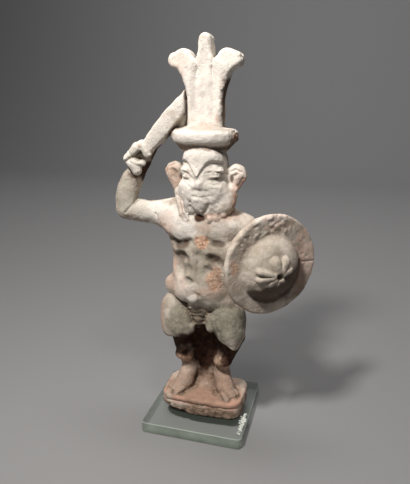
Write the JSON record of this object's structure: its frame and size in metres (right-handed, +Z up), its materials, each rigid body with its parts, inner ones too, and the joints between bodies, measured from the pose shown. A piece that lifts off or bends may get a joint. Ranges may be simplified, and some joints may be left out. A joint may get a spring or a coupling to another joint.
{
  "type": "bes figure",
  "caption": "Moulded terracotta figure of a squatting dwarf god with a tall plumed crown, raised short sword and round shield, standing on a clear glass plate.",
  "frame": {"origin": "middle of the glass plate's underside", "axes": "+Z up along the figure, -Y the way the figure faces, +X to the viewer's right"},
  "size_m": [0.18, 0.096, 0.3539],
  "materials": {
    "terracotta": "matt fired clay with the worn remains of a pale slip and grey-green earth deposits",
    "clear_glass": "clear float glass, pale green at its edges, with small bevels"
  },
  "bodies": {
    "root": {"bes_figure": "terracotta", "glass_base": "clear_glass"}
  },
  "joints": []
}
